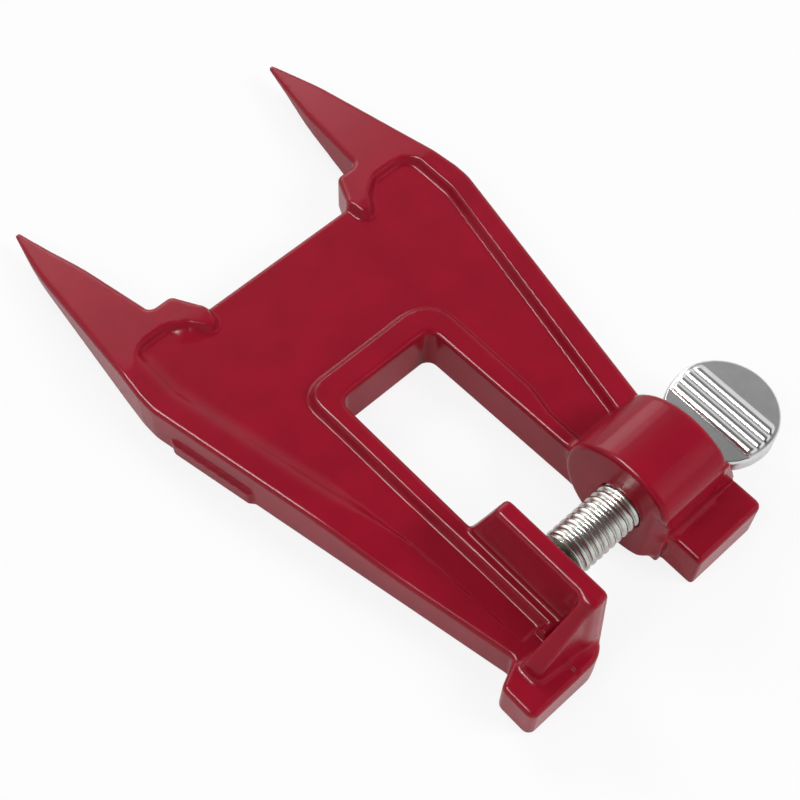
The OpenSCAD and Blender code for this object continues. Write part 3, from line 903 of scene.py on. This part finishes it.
class VISE_OT_pad(bpy.types.Operator):
    """Add the swivel pad that is rolled over the screw's head"""

    bl_idname = "vise.pad"
    bl_label = "Add Swivel Pad"

    def execute(self, context):
        vise = context.scene.stump_vise
        axis_y = (SCREW_Y - ORIGIN[1]) * MM
        turned = bmesh.new()
        ring = [
            turned.verts.new(((x - ORIGIN[0]) * MM, axis_y, (SCREW_Z + r) * MM))
            for x, r in rounded(PAD_SECTION, 4)
        ]
        edges = [turned.edges.new((a, b)) for a, b in zip(ring, ring[1:])]
        bmesh.ops.spin(
            turned,
            geom=ring + edges,
            cent=(0, axis_y, SCREW_Z * MM),
            axis=(1, 0, 0),
            angle=2 * math.pi,
            steps=SPOKES,
            use_merge=True,
            use_duplicate=False,
        )
        bmesh.ops.remove_doubles(turned, verts=turned.verts, dist=1e-7)
        bmesh.ops.recalc_face_normals(turned, faces=turned.faces)
        mesh = bpy.data.meshes.new("pressed_pad")
        turned.to_mesh(mesh)
        turned.free()
        mesh.polygons.foreach_set("use_smooth", np.ones(len(mesh.polygons), bool))
        mesh.set_sharp_from_angle(angle=math.radians(35))
        obj = bpy.data.objects.new("pressed_pad", mesh)
        bpy.context.scene.collection.objects.link(obj)
        obj.data.materials.append(bright_zinc(vise))
        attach(obj, "pad_body")
        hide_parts("swivel_pad")
        return {"FINISHED"}


# The paddle is measured from its disc's centre. Its rim is rounder towards the hub, and its faces
# are lower there
DISC_HALF = 3.0
RIM_ROUND = 0.5
RIM_ROUNDER = 1.5
RIM_ROUND_X = (-4.0, 6.0)
LOWERED = 0.7
LOWERED_X = (-4.6, -4.2)
LOWERED_EDGE = 0.2
LOWERED_PAST = 3

# The ribs are round bars sunk into both faces: the first lies so far in from the disc's far edge
RIB_RADIUS = 1.5
RIB_HEIGHT = 0.6
RIB_FIRST = 9.75
RIB_SPACING = 2.5
RIB_INSET = 1.3
RIB_JOIN = 0.3
RIB_END = 0.8
RIB_FILLET = 0.4

# The hub: a short drum and a cone into the disc, with a socket for the screw's plain end
HUB_RADIUS = 5.7
HUB_DRUM = 2.6
HUB_CONE = (3.5, 2.2)
HUB_LENGTH = 4.8
HUB_EDGE = 0.6
HUB_FILLET = 1.0
SOCKET_RADIUS = 4.05
SOCKET_DEPTH = 2.62

# The grid round the paddle: its corners and its cell
PADDLE_BOX = (15.2, 15.2, 8.2)
PADDLE_CELL = 0.26


def paddle_field(p, vise):
    """Distance to the paddle's surface, from its disc's centre."""
    x, y, z = p[..., 0], p[..., 1], p[..., 2]
    radius = np.hypot(x, y)
    height = np.abs(z)
    rim = RIM_ROUND + RIM_ROUNDER * (1 - smooth_step(*RIM_ROUND_X, x))
    disc = round_edge(radius - PADDLE_RADIUS, height - DISC_HALF, rim)
    lowered = height - (DISC_HALF - LOWERED * (1 - smooth_step(*LOWERED_X, x)))
    disc = np.maximum(disc, smooth_max(lowered, radius - PADDLE_RADIUS - LOWERED_PAST, LOWERED_EDGE))

    ribs = np.full(x.shape, 1e3)
    for i in range(vise.rib_count):
        at = PADDLE_RADIUS - RIB_FIRST - i * RIB_SPACING
        rib = np.hypot(x - at, height - (DISC_HALF + RIB_HEIGHT - RIB_RADIUS)) - RIB_RADIUS
        ribs = smooth_min(ribs, rib, RIB_JOIN)
    ribs = smooth_max(ribs, radius - (PADDLE_RADIUS - RIB_INSET), RIB_END)
    metal = smooth_min(disc, ribs, RIB_FILLET)

    along = x + PADDLE_RADIUS
    across = np.hypot(y, z)
    cone = plane(along, across, (HUB_DRUM, HUB_RADIUS), HUB_CONE)
    hub = round_edge(np.where(along < HUB_DRUM, across - HUB_RADIUS, cone), -along, HUB_EDGE)
    hub = smooth_max(hub, along - HUB_LENGTH, HUB_EDGE)
    metal = smooth_min(metal, hub, HUB_FILLET)
    return np.maximum(metal, -np.maximum(across - SOCKET_RADIUS, along - SOCKET_DEPTH))


class VISE_OT_paddle(bpy.types.Operator):
    """Add the ribbed thumb paddle"""

    bl_idname = "vise.paddle"
    bl_label = "Add Thumb Paddle"

    def execute(self, context):
        vise = context.scene.stump_vise
        axes = grid_axes([-side for side in PADDLE_BOX], PADDLE_BOX, PADDLE_CELL)
        grid = np.stack(np.meshgrid(*axes, indexing="ij"), axis=-1)
        points, quads = net_surface(paddle_field(grid, vise).astype(np.float32), axes)
        points, normals = settle(points, lambda p: (), lambda p, flat: paddle_field(p, vise))
        centre = np.array([PADDLE_CENTRE, SCREW_Y, SCREW_Z])
        obj = mesh_object("ribbed_paddle", points + centre, quads, normals)
        obj.data.materials.append(satin_chrome(vise))
        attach(obj, "screw_body")
        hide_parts("thumb_paddle")
        return {"FINISHED"}


# The stage, in metres

FLOOR_SIDE = 3

# Shares of plain white in the floor for the camera and in mirrors. The rest is lit and shows the
# object's shadow
FLOOR_GLOW = 0.85
MIRROR_GLOW = 0.25

# The plain light of the world, and what metal and paint mirror: a white tent, whose brightness
# falls from its walls to the middle of a dim opening overhead
AMBIENT_COLOUR = (0.95, 0.95, 0.97, 1)
AMBIENT = 0.3
OPENING = (-0.18, -0.18, 0.967)
TENT = [(0.35, 1.0), (0.6, 0.5), (0.72, 0.22), (0.85, 0.05), (1.0, 0.03)]

# Lamps: name, place, width and height, power, and whether it is soft light or only a highlight.
# Each looks at the point AIM on the object
AIM = (0.0, 0.0, 0.01)
LAMPS = [
    ("key_right", (0.5, -0.8, 0.85), (0.5, 0.5), 6.2, True),
    ("key_back", (0.2, 0.9, 0.85), (0.5, 0.5), 5.0, True),
    ("key_left", (-0.7, 0.0, 1.0), (0.5, 0.5), 3.5, True),
    ("edge_left", (-0.66, 0.40, 0.9), (0.75, 0.22), 26.0, False),
    ("strip_back", (0.25, 1.1, 0.45), (0.9, 0.6), 5.5, False),
]

# The photograph's camera: its focal length in pixels of a frame 800 wide, its direction in degrees,
# and in millimetres its distance from the point in the drawing's frame that it looks at
SENSOR = 36
PHOTO_WIDTH = 800
FOCAL_PIXELS = 1507.19
AZIMUTH, ELEVATION, ROLL = -44.90, 60.23, 2.40
TARGET = (-3.512, 81.313, 7.83)
DISTANCE = 377.12


def turned_to(right, up, back, place):
    """The matrix of a lamp or a camera from its three axes and its place."""
    turn = Matrix((right, up, back)).transposed().to_4x4()
    turn.translation = place
    return turn


def area_light(name, place, size, power, soft):
    """A lamp that lights softly without a highlight, or that makes only a highlight."""
    data = bpy.data.lights.new(name, "AREA")
    data.shape = "RECTANGLE"
    data.size, data.size_y = size
    data.energy = power
    light = bpy.data.objects.new(name, data)
    bpy.context.scene.collection.objects.link(light)
    back = np.array(place) - np.array(AIM)
    back = back / np.linalg.norm(back)
    right = np.cross((0, 0, 1), back)
    right = right / np.linalg.norm(right)
    light.matrix_world = turned_to(right, np.cross(back, right), back, place)
    light.visible_glossy = not soft
    light.visible_diffuse = soft


def add_math(tree, operation, first, second):
    """The output of a maths node on two numbers or outputs."""
    node = tree.nodes.new("ShaderNodeMath")
    node.operation = operation
    for socket, value in zip(node.inputs, (first, second)):
        if isinstance(value, (int, float)):
            socket.default_value = value
        else:
            tree.links.new(value, socket)
    return node.outputs[0]


def add_seen(tree, by_camera, in_mirrors):
    """The share of plain white for rays from the camera, and for those from metal or glass."""
    path = tree.nodes.new("ShaderNodeLightPath")
    glossy, through = path.outputs["Is Glossy Ray"], path.outputs["Is Transmission Ray"]
    mirrors = add_math(tree, "MULTIPLY", add_math(tree, "MAXIMUM", glossy, through), in_mirrors)
    camera = add_math(tree, "MULTIPLY", path.outputs["Is Camera Ray"], by_camera)
    return add_math(tree, "MAXIMUM", camera, mirrors)


def add_mix(tree, share, first, second, target):
    """Mixes two shaders by a share, into the surface of an output node."""
    mix = tree.nodes.new("ShaderNodeMixShader")
    tree.links.new(share, mix.inputs["Fac"])
    tree.links.new(first, mix.inputs[1])
    tree.links.new(second, mix.inputs[2])
    tree.links.new(mix.outputs["Shader"], tree.nodes[target].inputs["Surface"])


class VISE_OT_stage(bpy.types.Operator):
    """Add the floor, the light and the camera"""

    bl_idname = "vise.stage"
    bl_label = "Add Stage"

    def execute(self, context):
        scene = context.scene
        scene.view_settings.view_transform = "Standard"
        self.add_floor(scene)
        self.add_world(scene)
        for lamp in LAMPS:
            area_light(*lamp)
        self.add_camera(scene)
        return {"FINISHED"}

    def add_floor(self, scene):
        """The floor is plain white to the camera and in reflections, and keeps the shadow."""
        side = FLOOR_SIDE
        mesh = bpy.data.meshes.new("floor")
        corners = [(-side, -side, 0), (side, -side, 0), (side, side, 0), (-side, side, 0)]
        mesh.from_pydata(corners, [], [(0, 1, 2, 3)])
        floor = bpy.data.objects.new("floor", mesh)
        scene.collection.objects.link(floor)
        material, tree, shader = new_material("floor_white")
        shader.inputs["Base Color"].default_value = scene.stump_vise.floor_colour
        shader.inputs["Roughness"].default_value = 0.9
        shader.inputs["Specular IOR Level"].default_value = 0.0
        glow = tree.nodes.new("ShaderNodeEmission")
        glow.inputs["Color"].default_value = (1, 1, 1, 1)
        share = add_seen(tree, FLOOR_GLOW, MIRROR_GLOW)
        add_mix(tree, share, shader.outputs["BSDF"], glow.outputs["Emission"], "Material Output")
        mesh.materials.append(material)

    def add_world(self, scene):
        """The world is a plain soft light on the object, and a tent to the camera and in mirrors."""
        world = bpy.data.worlds.new("studio")
        world.use_nodes = True
        scene.world = world
        tree = world.node_tree
        plain = tree.nodes["Background"]
        plain.inputs["Color"].default_value = AMBIENT_COLOUR
        plain.inputs["Strength"].default_value = AMBIENT
        place = tree.nodes.new("ShaderNodeTexCoord")
        towards = tree.nodes.new("ShaderNodeVectorMath")
        towards.operation = "DOT_PRODUCT"
        towards.inputs[1].default_value = OPENING
        tree.links.new(place.outputs["Generated"], towards.inputs[0])
        ramp = add_ramp(tree, towards.outputs["Value"], [(at, (level,) * 3) for at, level in TENT])
        tent = tree.nodes.new("ShaderNodeBackground")
        tree.links.new(ramp.outputs["Color"], tent.inputs["Color"])
        backgrounds = plain.outputs["Background"], tent.outputs["Background"]
        add_mix(tree, add_seen(tree, 1.0, 1.0), *backgrounds, "World Output")

    def add_camera(self, scene):
        """The camera stands where the photograph was taken."""
        data = bpy.data.cameras.new("photo_view")
        data.sensor_width = SENSOR
        data.lens = SENSOR * FOCAL_PIXELS / PHOTO_WIDTH
        data.clip_start = 0.01
        camera = bpy.data.objects.new("photo_view", data)
        scene.collection.objects.link(camera)
        azimuth, elevation, roll = (math.radians(v) for v in (AZIMUTH, ELEVATION, ROLL))
        flat = math.cos(elevation)
        back = np.array([math.sin(azimuth) * flat, -math.cos(azimuth) * flat, math.sin(elevation)])
        right = np.array([math.cos(azimuth), math.sin(azimuth), 0.0])
        up = np.cross(back, right)
        across = math.cos(roll) * right + math.sin(roll) * up
        upward = -math.sin(roll) * right + math.cos(roll) * up
        place = (np.array(TARGET) - ORIGIN + back * DISTANCE) * MM
        camera.matrix_world = turned_to(across, upward, back, place)
        scene.camera = camera


class VISE_PT_panel(bpy.types.Panel):
    """The vise's sizes, colours and pieces"""

    bl_idname = "VISE_PT_panel"
    bl_label = "Stump Vise"
    bl_space_type = "VIEW_3D"
    bl_region_type = "UI"
    bl_category = "Stump Vise"

    def draw(self, context):
        layout = self.layout
        for name in ViseSettings.__annotations__:
            layout.prop(context.scene.stump_vise, name)
        for operator in OPERATORS:
            layout.operator(operator.bl_idname)


OPERATORS = (VISE_OT_stage, VISE_OT_casting, VISE_OT_screw, VISE_OT_pad, VISE_OT_paddle)
CLASSES = (ViseSettings, *OPERATORS, VISE_PT_panel)


def register():
    for cls in CLASSES:
        bpy.utils.register_class(cls)
    bpy.types.Scene.stump_vise = PointerProperty(type=ViseSettings)


def unregister():
    del bpy.types.Scene.stump_vise
    for cls in reversed(CLASSES):
        bpy.utils.unregister_class(cls)


def main():
    register()
    bpy.ops.vise.stage()
    bpy.ops.vise.casting()
    bpy.ops.vise.screw()
    bpy.ops.vise.pad()
    bpy.ops.vise.paddle()


if __name__ == "__main__":
    main()
